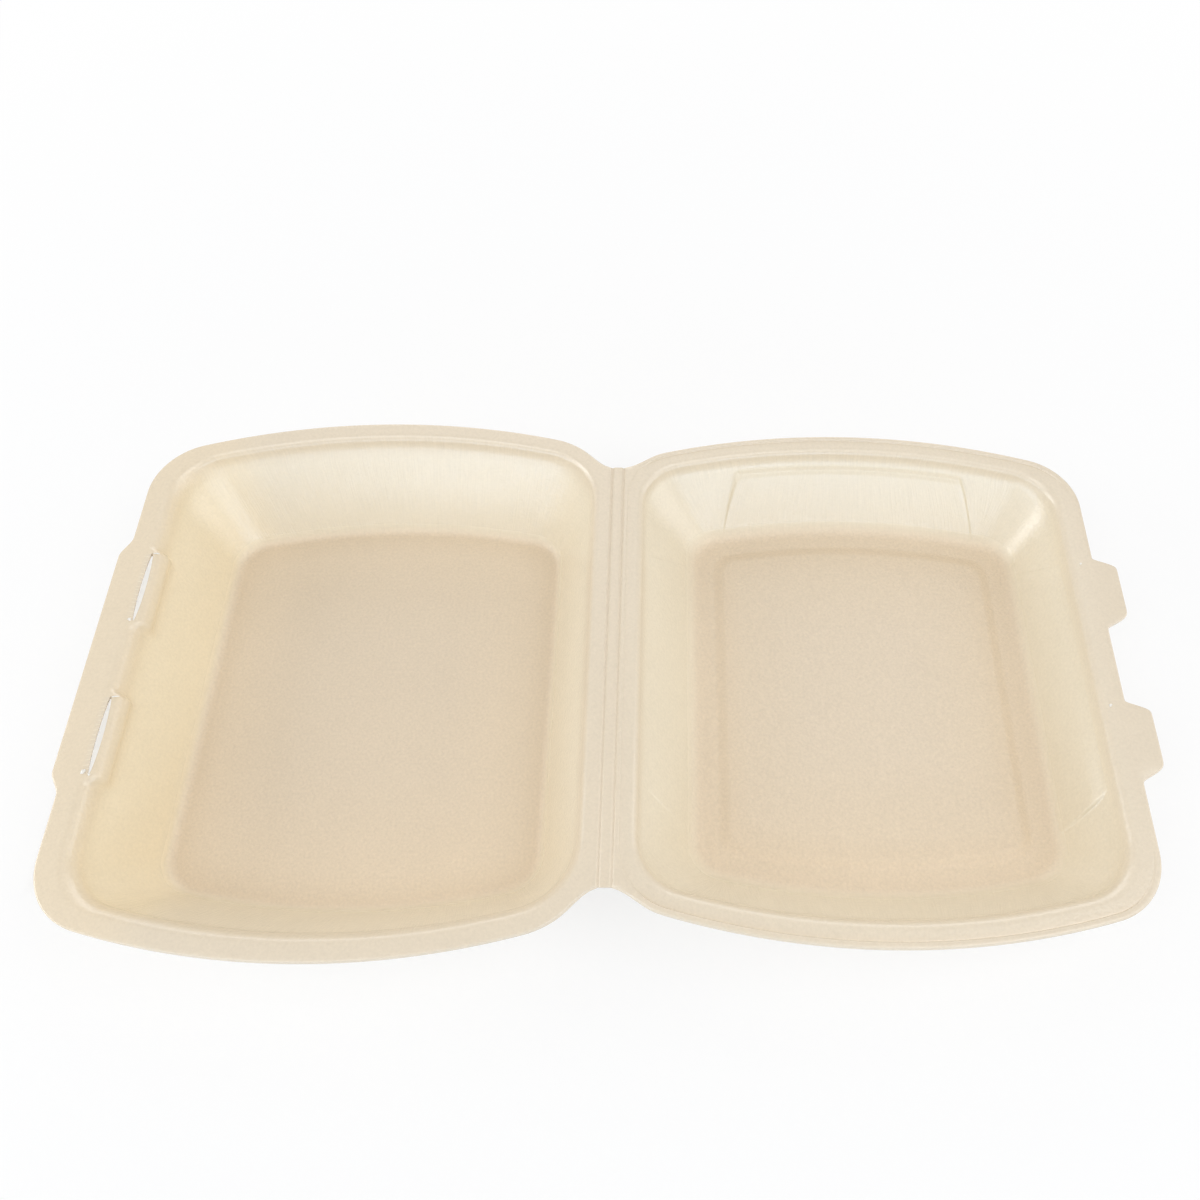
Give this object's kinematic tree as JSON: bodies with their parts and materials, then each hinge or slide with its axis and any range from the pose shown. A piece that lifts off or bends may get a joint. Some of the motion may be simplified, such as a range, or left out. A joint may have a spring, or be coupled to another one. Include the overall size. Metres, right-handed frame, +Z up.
{
  "type": "hinged foam meal box",
  "caption": "Shallow foam food tray with a matching hinged lid, moulded as one sheet and lying open; lid tongues lock into slots in the tray's flap.",
  "frame": {"origin": "on the table under the middle of the tray floor", "axes": "+X from the tray across the hinge to the opened lid, +Y along the hinge, +Z up"},
  "size_m": [0.4208, 0.24, 0.0433],
  "materials": {
    "foam": "satin foam skin with a fine cell grain"
  },
  "bodies": {
    "tray": {"tray": "foam"},
    "hinge_strip": {"hinge_strip": "foam"},
    "lid": {"lid": "foam"}
  },
  "joints": [
    {"name": "lid_fold", "type": "hinge", "parent": "tray", "child": "lid", "pos_m": [0.10291, 0, 0.04482], "axis": [0, -1, 0], "range_deg": [0, 183.56]},
    {"name": "strip_fold", "type": "hinge", "parent": "tray", "child": "hinge_strip", "pos_m": [0.10045, 0, 0.0424], "axis": [0, -1, 0], "range_deg": [0, 91.78]}
  ],
  "couplings": [
    {"joint": "strip_fold", "follows": "lid_fold", "ratio": 0.5}
  ]
}
